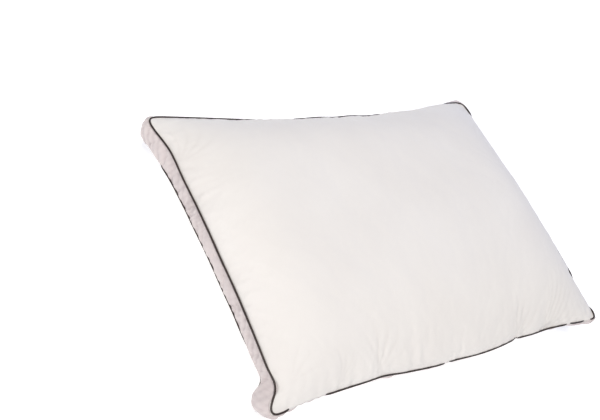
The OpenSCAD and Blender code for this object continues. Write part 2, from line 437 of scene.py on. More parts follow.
def averaged(values, spread):
    """Each point becomes the bell-weighted average of its row, then of its column. Past an edge the
    values are mirrored through the edge point, so the edge itself stays where it is."""
    reach = 3 * spread
    weights = np.exp(-0.5 * (np.arange(-reach, reach + 1) / spread) ** 2)
    weights /= weights.sum()
    for axis in (0, 1):
        rows = np.moveaxis(values, axis, 0)
        before = 2 * rows[0] - rows[1:reach + 1][::-1]
        after = 2 * rows[-1] - rows[-reach - 1:-1][::-1]
        padded_rows = np.concatenate([before, rows, after])
        rows = sum(w * padded_rows[i:i + len(rows)] for i, w in enumerate(weights))
        values = np.moveaxis(rows, 0, axis)
    return values


edge_distance = np.minimum(half_l - np.abs(flat_x), half_w - np.abs(flat_y))
past_band = np.maximum(edge_distance - SHARP_BAND, 0)
kept = CREASES_KEPT + (SEAM_CREASES - CREASES_KEPT) * np.exp(-past_band / FADE)
for panel in (top, bottom):
    creased = casing[panel].reshape(*flat_x.shape, 3)
    smooth = averaged(creased, SMOOTH_CELLS)
    casing[panel] = (smooth + (creased - smooth) * kept[..., None]).reshape(-1, 3)

# %% [markdown]
# The cord inside the piping is stiffer than cotton, so a seam never turns in sharp jogs. Each seam
# is averaged along its own line, except at the corners, and the cloth beside it comes along.

# %% Easing the seams
SEAM_EASE = 2.5
CORNER_KEPT = 0.035
EASE_REACH = 0.030


def round_average(points, spread):
    """Bell-weighted average along a closed line."""
    offsets = np.arange(-round(3 * spread), round(3 * spread) + 1)
    weights = np.exp(-0.5 * (offsets / spread) ** 2)
    weights /= weights.sum()
    return sum(w * np.roll(points, int(k), 0) for w, k in zip(weights, offsets))


to_corner = np.hypot(half_l - np.abs(outline[:, 0]), half_w - np.abs(outline[:, 1]))
eased = 1 - np.exp(-(to_corner / CORNER_KEPT) ** 2)
gap = flat_xy[:, None] - outline[None]
nearest_seam = np.argmin((gap ** 2).sum(-1), 1)
ease_fade = np.exp(-edge_distance.ravel() / EASE_REACH)[:, None]
moves = []
for panel, loop in ((top, seam), (bottom, seam + top_count)):
    move = (round_average(casing[loop], SEAM_EASE) - casing[loop]) * eased[:, None]
    moves.append(move)
    casing[panel] += move[nearest_seam] * ease_fade
for row, loop in enumerate(wall_rows[1:-1], start=1):
    share = row / cells_z
    casing[loop] += moves[0] * (1 - share) + moves[1] * share
print("largest jog", round(float(np.abs(moves).max()) * 1000, 1), "mm")

# %% [markdown]
# Nobody's pillow is symmetrical. The filling has slid a little toward one long side, which rolls
# over its gusset, the near end stands higher in its middle than at its corners, and one corner has
# been tugged into an ear. Each side is bent by a few stations along it, given in millimetres,
# and the bend fades toward the middle of the pillow.

# %% Bending the sides
MM = 0.001
u = flat_points[:, 0] / half_l
v = flat_points[:, 1] / half_w
height_share = np.concatenate([
    np.ones(top_count),
    np.zeros(top_count),
    (flat_points[wall_start:, 2] - levels[-1]) / gusset_h,
])


def stations(position, pairs):
    """A smooth line through (position, value) pairs, with an eased step from each to the next."""
    places, values = np.array(pairs, float).T
    left = np.clip(np.searchsorted(places, position) - 1, 0, len(places) - 2)
    share = np.clip((position - places[left]) / (places[left + 1] - places[left]), 0, 1)
    share = share * share * (3 - 2 * share)
    return MM * (values[left] * (1 - share) + values[left + 1] * share)


def bend_side(points, axis, sign, reach, top_in, bottom_in, top_up, bottom_up):
    """Moves one side in and up by its stations, least far from the side."""
    along = (v, u)[axis]
    distance = (half_l, half_w)[axis] + sign * flat_points[:, axis]
    fade = np.exp(-(np.maximum(distance, 0) / reach) ** 1.5)
    inward = stations(along, top_in) * height_share + stations(along, bottom_in) * (1 - height_share)
    upward = stations(along, top_up) * height_share + stations(along, bottom_up) * (1 - height_share)
    points[:, axis] += sign * fade * inward
    points[:, 2] += fade * upward


bend_side(
    casing, 0, 1, 0.12,
    top_in=[(-1, -9), (-0.945, -5), (-0.87, 15), (-0.76, 9), (-0.4, 9), (0, 9), (0.5, 6), (0.72, 8), (1, -2)],
    bottom_in=[(-1, 0), (-0.92, -4), (-0.80, 17), (-0.6, 14), (0, 13), (0.5, 9), (1, 0)],
    top_up=[(-1, 0), (-0.85, 9), (0, 12), (0.6, 6), (1, 0)],
    bottom_up=[(-1, 0), (-0.85, 9), (0, 14), (0.6, 7), (1, 0)],
)
bend_side(
    casing, 0, -1, 0.12,
    top_in=[(-1, -2), (-0.5, 1), (0, 4), (1, 0)],
    bottom_in=[(-1, 0), (0, 8), (1, 0)],
    top_up=[(-1, 0), (-0.6, 9), (0, 7), (1, 0)],
    bottom_up=[(-1, 0), (0, 5), (1, 0)],
)
bend_side(
    casing, 1, 1, 0.10,
    top_in=[(-1, 0), (-0.5, -6), (0, -10), (0.5, -8), (1, -1)],
    bottom_in=[(-1, 6), (-0.8, 10), (0, 10), (0.9, 12), (1, 10)],
    top_up=[(-1, 0), (-0.5, -6), (0, -8), (0.5, -6), (1, 0)],
    bottom_up=[(-1, 0), (0, -4), (1, 2)],
)
bend_side(
    casing, 1, -1, 0.10,
    top_in=[(-1, 0), (-0.3, 8), (0.2, 10), (1, 0)],
    bottom_in=[(-1, 0), (0, 8), (1, 0)],
    top_up=[(-1, 0), (0, 2), (1, 0)],
    bottom_up=[(-1, 0), (0, 2), (1, 0)],
)
print("bent", casing.min(0).round(4), casing.max(0).round(4))

# %% [markdown]
# The corners hold no filling, so their cloth stands out as small ears.

# %% Corner ears
EAR_REACH = 0.045


def pull_corner(points, side_x, side_y, upper, lower):
    """Moves a corner by a bell-shaped share of (out along x, out along y, up), millimetres, given for the
    upper and the lower seam."""
    distance = np.hypot(flat_points[:, 0] - side_x * half_l, flat_points[:, 1] - side_y * half_w)
    share = MM * np.exp(-(distance / EAR_REACH) ** 2)
    signs = np.array([side_x, side_y, 1])
    move = np.outer(height_share, upper) + np.outer(1 - height_share, lower)
    points += share[:, None] * move * signs


pull_corner(casing, -1, -1, upper=(4, 6, -4), lower=(7, -13, 7))
pull_corner(casing, -1, 1, upper=(3, 3, 0), lower=(1, 1, 0))
pull_corner(casing, 1, 1, upper=(1, -3, -1), lower=(4, 10, 11))
pull_corner(casing, 1, -1, upper=(3, 3, 0), lower=(0, -8, 3))

# %% [markdown]
# It lies on the floor: where the lower panel would go through, it flattens instead. The rounded
# form of max(z, 0) leaves no crease at the edge of the flat.

# %% Resting on the floor
FLATTENING = 0.004

casing[bottom, 2] = FLATTENING * np.logaddexp(0, casing[bottom, 2] / FLATTENING)
print("lying", casing.min(0).round(4), casing.max(0).round(4))

# %% [markdown]
# The simulation's squares are too coarse for the finest gathers, so each surface is made twice as
# fine. A subdivision modifier would do it, but done as arrays the extra points are there for the
# small folds of the next steps, and this step leaves the panels and the gusset on one seam line.

# %% Finer cloth
def finer(values, axis, closed=False):
    """Twice as many points along one direction: the old ones stay, and each new one is nine sixteenths
    of its two neighbours less one sixteenth of the next two, which keeps the curve smooth."""
    rows = np.moveaxis(values, axis, 0)
    if closed:
        padded_rows = np.concatenate([rows[-1:], rows, rows[:2]])
    else:
        padded_rows = np.concatenate([2 * rows[:1] - rows[1:2], rows, 2 * rows[-1:] - rows[-2:-1]])
    between = (9 * (padded_rows[1:-2] + padded_rows[2:-1]) - padded_rows[:-3] - padded_rows[3:]) / 16
    result = np.empty((len(rows) + len(between), *rows.shape[1:]))
    result[0::2] = rows
    result[1::2] = between
    return np.moveaxis(result, 0, axis)


def finer_panel(values):
    """A panel's grid made finer in both directions."""
    return finer(finer(values, 0), 1)


def facing(points, closed=False):
    """The surface's outward direction at each grid point, from its two neighbours each way."""
    if closed:
        along = np.roll(points, -1, 0) - np.roll(points, 1, 0)
    else:
        along = np.gradient(points, axis=0)
    normal = np.cross(along, np.gradient(points, axis=1))
    return normal / np.linalg.norm(normal, axis=-1, keepdims=True)


fine_flat = finer_panel(np.stack([flat_x, flat_y], -1))
fine_top = finer_panel(casing[top].reshape(*flat_x.shape, 3))
fine_bottom = finer_panel(casing[bottom].reshape(*flat_x.shape, 3))
fine_wall = finer(finer(casing[wall_index], 1), 0, closed=True)
run = np.concatenate([[0], np.cumsum(np.linalg.norm(np.diff(outline, axis=0), axis=1))])
seam_length = run[-1] + np.linalg.norm(outline[0] - outline[-1])
fine_outline = finer(outline, 0, closed=True)
print(f"each seam is {seam_length:.3f} m round when flat")
print("panel grid", fine_top.shape[:2], "gusset grid", fine_wall.shape[:2])

# %% [markdown]
# Gathers. Beside every seam the cloth is pinched into short folds that run away from it, closer
# together than the simulation can show. A fold is a narrow valley between round ridges, so its
# height comes from a sine wave with its zeros sharpened, and two rows of different length and
# strength are laid over each other so that no rhythm shows.

# %% Gathers beside the seams
def gathers(along, away, seed, spacing, reach):
    """Height of the folds, 0 on a ridge and -1 in a valley: |sin| to the power 0.6, less one. Each
    place along the seam has its own strength, and the folds lean as they leave it."""
    rng = np.random.default_rng(seed)
    phase = rng.uniform(0, 2 * np.pi, 8)
    wander = 0.35 * spacing * np.sin(along / (1.9 * spacing) + phase[0])
    wander += 0.6 * spacing * np.sin(along / (4.3 * spacing) + phase[1])
    lean = 0.45 * np.sin(along / 0.047 + phase[2]) + 0.25 * np.sin(along / 0.019 + phase[3])
    wave = np.abs(np.sin(np.pi * (along + wander + lean * away) / spacing)) ** 0.6 - 1
    strength = 0.55 + 0.3 * np.sin(along / 0.031 + phase[4]) + 0.3 * np.sin(along / 0.073 + phase[5])
    length = reach * (1 + 0.45 * np.sin(along / 0.023 + phase[6]) + 0.3 * np.sin(along / 0.051 + phase[7]))
    rising = 1 - np.exp(-away / 0.003)
    return np.clip(strength, 0.08, 1) * wave * rising * np.exp(-away / length)


# depth of the folds along the left, right, front and back side, and their spacing and reach
LONG_DEPTHS = (0.0009, 0.0006, 0.0006, 0.0007)
LONG_SPACING = 0.021
LONG_REACH = 0.026
SHORT_DEPTHS = (0.0010, 0.0004, 0.0004, 0.0006)
SHORT_SPACING = 0.0095
SHORT_REACH = 0.013


def panel_gathers(flat, seed):
    """The folds of a panel: those of its two long sides and its two short ones, added."""
    x, y = flat[..., 0], flat[..., 1]
    height = np.zeros(x.shape)
    for side, (along, away) in enumerate((
        (y, half_l + x), (y, half_l - x), (x, half_w + y), (x, half_w - y),
    )):
        long_folds = gathers(along, away, seed + side, LONG_SPACING, LONG_REACH)
        short_folds = gathers(along, away, seed + 10 + side, SHORT_SPACING, SHORT_REACH)
        height += LONG_DEPTHS[side] * long_folds + SHORT_DEPTHS[side] * short_folds
    return height


# %% [markdown]
# Fans. In a few places several folds start together at one stitch and spread into the panel, where
# the filling pulls hardest. Each fan is given by its foot on the flat panel, the direction it runs
# in and its spread in degrees, its length, the number of its folds and their depth.

# %% Fans of folds
def fan(flat, foot, toward, spread, length, count, depth):
    """Folds that spread from one place on a seam: the same valleys, but over the angle round the foot,
    deepest a little past half the length and fading at both sides of the fan."""
    offset = flat - np.array(foot)
    away = np.hypot(offset[..., 0], offset[..., 1])
    turn = np.arctan2(offset[..., 1], offset[..., 0]) - math.radians(toward)
    turn = (turn + np.pi) % (2 * np.pi) - np.pi
    share = turn / math.radians(spread)
    wave = np.abs(np.sin(np.pi * count * (share + 0.5) + 2 * np.sin(away / 0.03))) ** 0.6 - 1
    reach = away / length
    return depth * wave * 2.2 * reach * np.exp(-1.5 * reach ** 2) * np.exp(-(1.6 * share) ** 4)


FANS = (
    ((-0.352, 0.150), 50, 70, 0.060, 4, 0.0016),
    ((0.140, -0.262), 58, 60, 0.052, 4, 0.0022),
    ((0.205, -0.266), 38, 46, 0.078, 6, 0.0028),
    ((-0.165, -0.250), 70, 60, 0.055, 3, 0.0020),
    ((-0.240, -0.250), 75, 50, 0.035, 3, 0.0012),
    ((-0.335, -0.225), 35, 60, 0.050, 3, 0.0010),
    ((0.02, 0.252), -95, 80, 0.050, 4, 0.0012),
    ((0.345, 0.190), 215, 60, 0.060, 4, 0.0012),
)
top_folds = panel_gathers(fine_flat, 21) + sum(fan(fine_flat, *each) for each in FANS)
bottom_folds = panel_gathers(fine_flat, 41)

# %% [markdown]
# Along the front the plump panel rolls a little over its own seam, so a narrow band of it is moved
# outward there, which also takes its edge half a millimetre past the gusset's, under the piping.
# Then every fold is laid on the cloth, along the direction the cloth faces.

# %% Folding the panels
OVERHANG = 0.0035
OVERHANG_FROM_SEAM = 0.016
OVERHANG_WIDTH = 0.012

from_front = (half_w + fine_flat[..., 1] - OVERHANG_FROM_SEAM) / OVERHANG_WIDTH
middle_share = np.clip(1 - (fine_flat[..., 0] / half_l) ** 6, 0, 1)
fine_top[..., 1] -= OVERHANG * np.exp(-from_front ** 2) * middle_share
fine_top += facing(fine_top) * top_folds[..., None]
fine_bottom -= facing(fine_bottom) * bottom_folds[..., None]
fine_bottom[..., 2] = np.maximum(fine_bottom[..., 2], 0)
print("deepest gather", round(float(-top_folds.min()) * 1000, 2), "mm")

# %% [markdown]
# The gusset is longer than the stretch it spans, so it wrinkles slantwise between its two seams and
# bulges out between them, most at the corners. The folds are narrow, so the strip first gets twice
# as many points along it.

# %% Gathers across the gusset
GUSSET_BULGE = 0.0025
CORNER_BULGE = 0.0035
CORNER_REACH = 0.04
WIDE_FOLD = 0.0026
NARROW_FOLD = 0.0015
WIDE_SPACING = 0.017
NARROW_SPACING = 0.0085

strip_wall = finer(fine_wall, 0, closed=True)
strip_outline = finer(fine_outline, 0, closed=True)
strip_run = np.arange(len(strip_outline)) * seam_length / len(strip_outline)
wall_height = np.broadcast_to(np.linspace(gusset_h, 0, strip_wall.shape[1]), strip_wall.shape[:2])
wall_run = np.broadcast_to(strip_run[:, None], strip_wall.shape[:2])
edge_hold = np.sin(np.pi * wall_height / gusset_h) ** 0.5
slanted = wall_run + 0.55 * wall_height
beside = np.full(slanted.shape, 0.02)
other_slant = wall_run - 0.3 * wall_height
wall_folds = WIDE_FOLD * gathers(slanted, beside, 61, WIDE_SPACING, 0.2)
wall_folds += NARROW_FOLD * gathers(other_slant, beside, 62, NARROW_SPACING, 0.2)
to_corner = np.hypot(half_l - np.abs(strip_outline[:, 0]), half_w - np.abs(strip_outline[:, 1]))
bulge = GUSSET_BULGE + CORNER_BULGE * np.exp(-(to_corner / CORNER_REACH) ** 2)
strip_wall -= facing(strip_wall, closed=True) * ((wall_folds + bulge[:, None]) * edge_hold)[..., None]
print("deepest fold of the gusset", round(float(-wall_folds.min()) * 1000, 2), "mm")

# %% [markdown]
# The cotton. Downproof cloth is woven so closely that it has a faint gloss, so it is a white with
# a little sheen. The threads cross twice a millimetre, thick and thin threads show as flecks, and
# very fine creases run into the seams. All of it is laid out on the flat cloth's own measures, so it
# turns with the cloth.

# %% Cotton
THREAD_PITCH = 0.0005
WAVE_UNITS = 2 * math.pi / 20


def cotton(name, light, shade, crease_stretch):
    """Warp and weft are two rows of waves; flecks and creases are noise, the creases drawn out. The colour is
    darker in the valleys of the folds: painted shade.
    """
    finish, tree, shader = new_finish(name)
    cloth = cloth_measures(tree)
    waves = {"Vector": cloth, "Scale": WAVE_UNITS / THREAD_PITCH, "Distortion": 0.6, "Detail": 1.0}
    warp = add_node(tree, "ShaderNodeTexWave", waves, bands_direction="X").outputs["Fac"]
    weft = add_node(tree, "ShaderNodeTexWave", waves, bands_direction="Y").outputs["Fac"]
    weave = number(tree, "MAXIMUM", warp, weft)
    flecks = noise(tree, cloth, 420.0, 2.0)
    drawn = add_node(tree, "ShaderNodeMapping", {"Vector": cloth, "Scale": crease_stretch}).outputs["Vector"]
    creases = noise(tree, drawn, 1.0, 4.0)
    clouds = noise(tree, cloth, 7.0, 3.0)
    # Painted shade: the fold mark darkens the colour in the valleys of the gathers, toward the shade colour.
    fold = add_node(tree, "ShaderNodeAttribute", attribute_name="fold").outputs["Fac"]
    tone = number(tree, "SUBTRACT", clouds, number(tree, "MULTIPLY", fold, 0.5))
    tone = number(tree, "ADD", tone, number(tree, "MULTIPLY", number(tree, "SUBTRACT", flecks, 0.5), 0.12))
    tree.links.new(two_colours(tree, tone, shade, light, 0.15, 0.75), shader.inputs["Base Color"])
    normal = raised(tree, creases, 0.0010, 0.5)
    normal = raised(tree, flecks, 0.00012, 0.35, under=normal)
    normal = raised(tree, weave, 0.00007, 0.45, under=normal)
    tree.links.new(normal, shader.inputs["Normal"])
    rough = two_colours(tree, flecks, (0.70, 0.70, 0.70), (0.84, 0.84, 0.84), 0.3, 0.7)
    tree.links.new(rough, shader.inputs["Roughness"])
    shader.inputs["Specular IOR Level"].default_value = 0.35
    shader.inputs["Sheen Weight"].default_value = 0.25
    shader.inputs["Sheen Roughness"].default_value = 0.45
    return finish


panel_cotton = cotton("panel cotton", (0.865, 0.835, 0.80), (0.81, 0.775, 0.74), (16, 16, 1))
# Painted shade: the gusset is the same cotton as the panels, but its two colours are darker and pinker, for
# the side wall that turns from the light, and its shade colour is darker still so that its folds show.
shaded_gusset_cotton = cotton("gusset cotton with painted shade", (0.77, 0.70, 0.68), (0.60, 0.53, 0.525), (120, 30, 1))

# %% [markdown]
# The two panels are the big pieces. Each is a sheet of cloth, given a thickness, held stretched by the
# filling.

# %% Panels
CLOTH_THICKNESS = 0.0004
SHADED_FOLD = 0.0011

fine_index = grid_index(fine_top)
for name, points, folds, faces in (
    ("top_cover", fine_top, top_folds, grid_faces(fine_index)),
    ("bottom_cover", fine_bottom, bottom_folds, grid_faces(fine_index)[:, ::-1]),
):
    # fold: how deep each point lies in a fold's valley, where the cotton finish paints shade into the colour.
    fold = np.clip(-folds.ravel() / SHADED_FOLD, 0, 1)
    panel = new_piece(name, points.reshape(-1, 3), faces, fine_flat.reshape(-1, 2), {"fold": fold})
    cloth_thickness(panel, CLOTH_THICKNESS)
    hand_in(panel, name.replace("cover", "panel"), panel_cotton)

# %% [markdown]
# The gusset is two strips, joined in the middle of each long side, where the cloth dips into the
# seam. Each strip is the part of the wall on one side of the joins.

# %% Gusset strips
JOIN_DIP = 0.0012
JOIN_WIDTH = 0.003
SHADED_GUSSET_FOLD = 0.0024

dip = JOIN_DIP * np.exp(-(strip_outline[:, 0] / JOIN_WIDTH) ** 2)
strip_wall += facing(strip_wall, closed=True) * (dip[:, None] * edge_hold)[..., None]
fine_wall = strip_wall[::2]
wall_facing = -facing(fine_wall, closed=True)
front_join = cells_x
back_join = 2 * (cells_x + cells_y) + cells_x
around = np.arange(len(strip_outline))
strips = {
    "right": around[2 * front_join:2 * back_join + 1],
    "left": np.concatenate([around[2 * back_join:], around[:2 * front_join + 1]]),
}
for side, columns in strips.items():
    points = strip_wall[columns]
    index = grid_index(points)
    cloth_place = np.stack([wall_run[columns], wall_height[columns]], -1).reshape(-1, 2)
    # fold: how deep each point lies in a valley of the gusset's folds, where the cotton finish paints shade
    # into the colour.
    fold = np.clip(-wall_folds[columns].ravel() / SHADED_GUSSET_FOLD, 0, 1)
    strip = new_piece(
        "gusset_strip_" + side, points.reshape(-1, 3), grid_faces(index)[:, ::-1], cloth_place, {"fold": fold}
    )
    cloth_thickness(strip, CLOTH_THICKNESS)
    hand_in(strip, "gusset_" + side, shaded_gusset_cotton)

# %% [markdown]
# A plump casing folds over its piping here and there. In those stretches the line lies deeper in
# the seam, and the cloth hides the piping. Elsewhere it lies about a millimetre in, or not at all.
# The stretches are given by their places along each side of the flat casing; one that ends at
# BEYOND runs on past the corner.

# %% Where the cloth covers the piping
TOP_SUNK = 0.00084
BOTTOM_SUNK = 0.0012
COVERED = 0.0040
SIDE_BAND = 0.010
BEYOND = 1

seam_x, seam_y = fine_outline.T


def stretch(along, start, end, ends=0.003):
    """1 between two places along a side, 0 beyond them, with soft ends: the product of two steps."""
    return 1 / (1 + np.exp(-(along - start) / ends)) / (1 + np.exp((along - end) / ends))


on_right = stretch(seam_x, half_l - SIDE_BAND, BEYOND)
on_left = stretch(-seam_x, half_l - SIDE_BAND, BEYOND)
on_back = stretch(seam_y, half_w - SIDE_BAND, BEYOND)
on_front = stretch(-seam_y, half_w - SIDE_BAND, BEYOND)
back_stretches = ((-0.165, -0.09), (0.12, 0.30))
front_stretches = (
    (-0.325, -0.262), (-0.020, -0.010), (0.146, 0.156), (0.283, 0.293), (0.322, 0.342),
)
covered_top = on_right * (stretch(seam_y, -0.232, -0.17) + stretch(seam_y, 0.14, 0.215))
for start, end in back_stretches:
    covered_top = np.maximum(covered_top, on_back * stretch(seam_x, start, end, 0.006))
for start, end in front_stretches:
    covered_top = np.maximum(covered_top, on_front * stretch(seam_x, start, end, 0.002))
back_end = stretch(seam_y, 0.185, BEYOND)
front_end = stretch(-seam_y, 0.14, BEYOND, 0.010)
long_sides = np.maximum(on_back, on_front)
left_ends = long_sides * stretch(-seam_x, 0.30, BEYOND)
covered_bottom = np.maximum(on_left * np.maximum(back_end, front_end), left_ends)
sunk_top = COVERED * covered_top + TOP_SUNK * long_sides * (1 - covered_top)
sunk_bottom = COVERED * covered_bottom + BOTTOM_SUNK * (1 - covered_bottom)
print("share of the seams covered", round(float((covered_top > 0.5).mean()), 2),
      round(float((covered_bottom > 0.5).mean()), 2))

# %% [markdown]
# The piping is a narrow satin strip folded round a cord, with both its edges sewn into the seam.
# The piping is stiffer than the cotton, so its line is the seam's line with the small jogs ironed
# out. At each point of that line three directions are needed: along the seam, outward, halfway
# between the panel and the gusset, and across both of these.

# %% The seams' lines
PIPING_OUT = 0.0012
STIFFNESS_POINTS = 3


def unit(vectors):
    """The vectors with length one."""
    return vectors / np.linalg.norm(vectors, axis=-1, keepdims=True)


def seam_line(panel, wall_edge, wall_next, sunk):
    """Line, forward, outward and across directions of a seam, from the last cloth on each side of it. The
    line lies as far inside the cloth's edge as sunk says at each point."""
    inner = panel[2:-2, 2:-2]
    x_edge, y_edge = panel.shape[0] - 1, panel.shape[1] - 1
    rows = np.stack(np.meshgrid(np.arange(x_edge + 1), np.arange(y_edge + 1), indexing="ij"), -1)
    ring = np.concatenate([rows[:-1, 0], rows[-1, :-1], rows[::-1, -1][:-1], rows[0, ::-1][:-1]])
    nearest = np.clip(ring - 2, 0, np.array(inner.shape[:2]) - 1)
    panel_side = inner[nearest[:, 0], nearest[:, 1]] - wall_edge
    wall_side = wall_next - wall_edge
    line = round_average(wall_edge, STIFFNESS_POINTS)
    forward = unit(np.roll(line, -1, 0) - np.roll(line, 1, 0))
    outward = -round_average(unit(panel_side) + unit(wall_side), STIFFNESS_POINTS)
    outward = unit(outward - (outward * forward).sum(1, keepdims=True) * forward)
    return line - sunk[:, None] * outward, forward, outward, np.cross(forward, outward)


seam_lines = {
    "top": seam_line(fine_top, fine_wall[:, 0], fine_wall[:, 2], sunk_top),
    "bottom": seam_line(fine_bottom, fine_wall[:, -1], fine_wall[:, -3], sunk_bottom),
}
for side, (line, forward, outward, across) in seam_lines.items():
    length = np.linalg.norm(line - np.roll(line, 1, 0), axis=1).sum()
    print(f"{side} seam is {length:.3f} m long, from z {line[:, 2].min():.3f} to {line[:, 2].max():.3f}")

# %% [markdown]
# Piping, cords and stitches all follow a seam. A cross section is drawn once and set at each point
# of the line, and the rows between two settings become the surface.

# %% Profiles carried along a seam
def carried(lines, profile, cloth_width):
    """The profile (outward, across) set at every point of the seam; also the flat cloth's places."""
    line, forward, outward, across = lines
    points = line[:, None] + profile[None, :, :1] * outward[:, None] + profile[None, :, 1:] * across[:, None]
    steps = np.linalg.norm(line - np.roll(line, 1, 0), axis=1)
    along = np.broadcast_to(np.cumsum(steps)[:, None], points.shape[:2])
    over = np.broadcast_to(np.linspace(0, cloth_width, len(profile)), points.shape[:2])
    return points, np.stack([along, over], -1)


def arc(radius, start, end, count):
    """Points (outward, across) on a circle round the cord's centre, angles in degrees."""
    angle = np.radians(np.linspace(start, end, count))
    return np.stack([PIPING_OUT + radius * np.cos(angle), radius * np.sin(angle)], -1)


# %% [markdown]
# Satin. The strip is cut on the bias, so its fine ribs run slantwise round the cord. It is a
# brown that is nearly black, with a narrow gloss where the cord turns it to the light.

# %% Satin
RIB_PITCH = 0.0011


def satin():
    """Slanted ribs are one row of waves over along plus across; flecks dull the gloss here and there."""
    finish, tree, shader = new_finish("piping satin")
    cloth = cloth_measures(tree)
    ribs = add_node(
        tree, "ShaderNodeTexWave", {"Vector": cloth, "Scale": WAVE_UNITS / RIB_PITCH, "Distortion": 0.8},
        bands_direction="DIAGONAL",
    ).outputs["Fac"]
    flecks = noise(tree, cloth, 900.0, 2.0)
    long_flecks = noise(tree, cloth, 60.0, 3.0)
    half_ribs = number(tree, "MULTIPLY", ribs, 0.5)
    tone = number(tree, "ADD", half_ribs, number(tree, "MULTIPLY", long_flecks, 0.5))
    brown = two_colours(tree, tone, (0.012, 0.006, 0.005), (0.046, 0.023, 0.017), 0.2, 0.8)
    tree.links.new(brown, shader.inputs["Base Color"])
    normal = raised(tree, ribs, 0.00010, 0.6)
    tree.links.new(raised(tree, flecks, 0.00003, 0.4, under=normal), shader.inputs["Normal"])
    rough = two_colours(tree, flecks, (0.26, 0.26, 0.26), (0.38, 0.38, 0.38), 0.3, 0.7)
    tree.links.new(rough, shader.inputs["Roughness"])
    shader.inputs["Sheen Weight"].default_value = 0.15
    shader.inputs["Sheen Roughness"].default_value = 0.4
    shader.inputs["Anisotropic"].default_value = 0.4
    return finish


# %% [markdown]
# The cover's profile starts at one edge inside the seam, comes out past the stitching, goes round
# the cord and back to the other edge, like the strip itself.

# %% Piping covers
SATIN_THICKNESS = 0.0003
FLANGE = 0.0040
FLANGE_HALF = 0.0004

piping_satin = satin()
cover_profile = np.concatenate([
    [(-FLANGE, FLANGE_HALF), (-FLANGE / 2, FLANGE_HALF), (PIPING_OUT - cover_r, 1.6 * FLANGE_HALF)],
    arc(cover_r, 157, -157, 17),
    [(PIPING_OUT - cover_r, -1.6 * FLANGE_HALF), (-FLANGE / 2, -FLANGE_HALF), (-FLANGE, -FLANGE_HALF)],
])
for side, lines in seam_lines.items():
    points, cloth_place = carried(lines, cover_profile, 2 * FLANGE + 2 * math.pi * cover_r)
    index = grid_index(points)
    cover = new_piece(
        side + "_piping", points.reshape(-1, 3), grid_faces(index, closed=True), cloth_place.reshape(-1, 2)
    )
    cloth_thickness(cover, SATIN_THICKNESS)
    hand_in(cover, side + "_piping_cover", piping_satin)

# %% [markdown]
# Inside the cover runs a cotton cord of three twisted strands. Its section is a circle with three
# lobes that turn as they go, so the twist is real geometry.

# %% Cords
STRANDS = 3
TWIST = 0.016
LOBE = 0.10

cord_finish, tree, shader = new_finish("cotton cord")
cloth = cloth_measures(tree)
fibres = noise(tree, cloth, 1500.0, 3.0)
undyed = two_colours(tree, fibres, (0.62, 0.57, 0.46), (0.80, 0.76, 0.66), 0.3, 0.7)
tree.links.new(undyed, shader.inputs["Base Color"])
tree.links.new(raised(tree, fibres, 0.0001, 0.6), shader.inputs["Normal"])
shader.inputs["Roughness"].default_value = 0.9

for side, lines in seam_lines.items():
    line, forward, outward, across = lines
    steps = np.cumsum(np.linalg.norm(line - np.roll(line, 1, 0), axis=1))
    turns = round(steps[-1] / (STRANDS * TWIST))
    around_cord = np.linspace(0, 2 * np.pi, 12, endpoint=False)[None]
    twist = 2 * np.pi * turns * (steps / steps[-1])[:, None]
    radius = cord_r * (1 - LOBE + LOBE * np.cos(STRANDS * (around_cord + twist)))
    out = (PIPING_OUT + radius * np.cos(around_cord))[..., None]
    up = (radius * np.sin(around_cord))[..., None]
    points = line[:, None] + out * outward[:, None] + up * across[:, None]
    points = np.concatenate([points, points[:, :1]], 1)
    index = np.arange(points.shape[0] * 12).reshape(-1, 12)
    index = np.concatenate([index, index[:, :1]], 1)
    cloth_place = np.stack([
        np.broadcast_to(steps[:, None], (len(line), 12)),
        np.broadcast_to(around_cord * cord_r, (len(line), 12)),
    ], -1)
    cord = new_piece(
        side + "_cord", points[:, :12].reshape(-1, 3), grid_faces(index, closed=True)[:, ::-1],
        cloth_place.reshape(-1, 2),
    )
    hand_in(cord, side + "_piping_cord", cord_finish)

# %% [markdown]
# Stitches. One stitch is a short round-ended thread, lifted in its middle and sunk at both ends,
# where it goes through the cloth. A row of them is one array: the same few points set at every
# place along a line.

# %% Stitches
STITCH_PITCH = 0.0035
STITCH_LENGTH = 0.0027
THREAD_R = 0.0002


def stitch_row(name, centres, forward, up, length=STITCH_LENGTH, radius=THREAD_R):
    """Every stitch is five rings of six points, with thin ends, lifted by half a cosine."""
    across = np.cross(forward, up)
    t = np.array([-0.5, -0.38, 0.0, 0.38, 0.5])
    size = radius * np.array([0.35, 0.9, 1.0, 0.9, 0.35])
    lift = radius * (2 * np.cos(np.pi * t) - 1)
    angle = np.linspace(0, 2 * np.pi, 6, endpoint=False)
    ring = np.stack([np.cos(angle), np.sin(angle)], -1)
    points = (
        centres[:, None, None]
        + (length * t)[None, :, None, None] * forward[:, None, None]
        + (size[:, None] * ring[:, 0] + lift[:, None])[None, ..., None] * up[:, None, None]
        + (size[:, None] * ring[:, 1])[None, ..., None] * across[:, None, None]
    )
    index = np.arange(30).reshape(5, 6)
    index = np.concatenate([index, index[:, :1]], 1)
    sides = grid_faces(index)
    caps = np.array([(0, 1, 2, 3), (0, 3, 4, 5), (27, 26, 25, 24), (29, 28, 27, 24)])
    one = np.concatenate([sides, caps])
    faces = (one[None] + 30 * np.arange(len(centres))[:, None, None]).reshape(-1, 4)
    along = np.broadcast_to((length * t)[None, :, None], (len(centres), 5, 6))
    over = np.broadcast_to(angle * radius, (len(centres), 5, 6))
    cloth_place = np.stack([along, over], -1).reshape(-1, 2)
    return new_piece(name, points.reshape(-1, 3), faces, cloth_place)


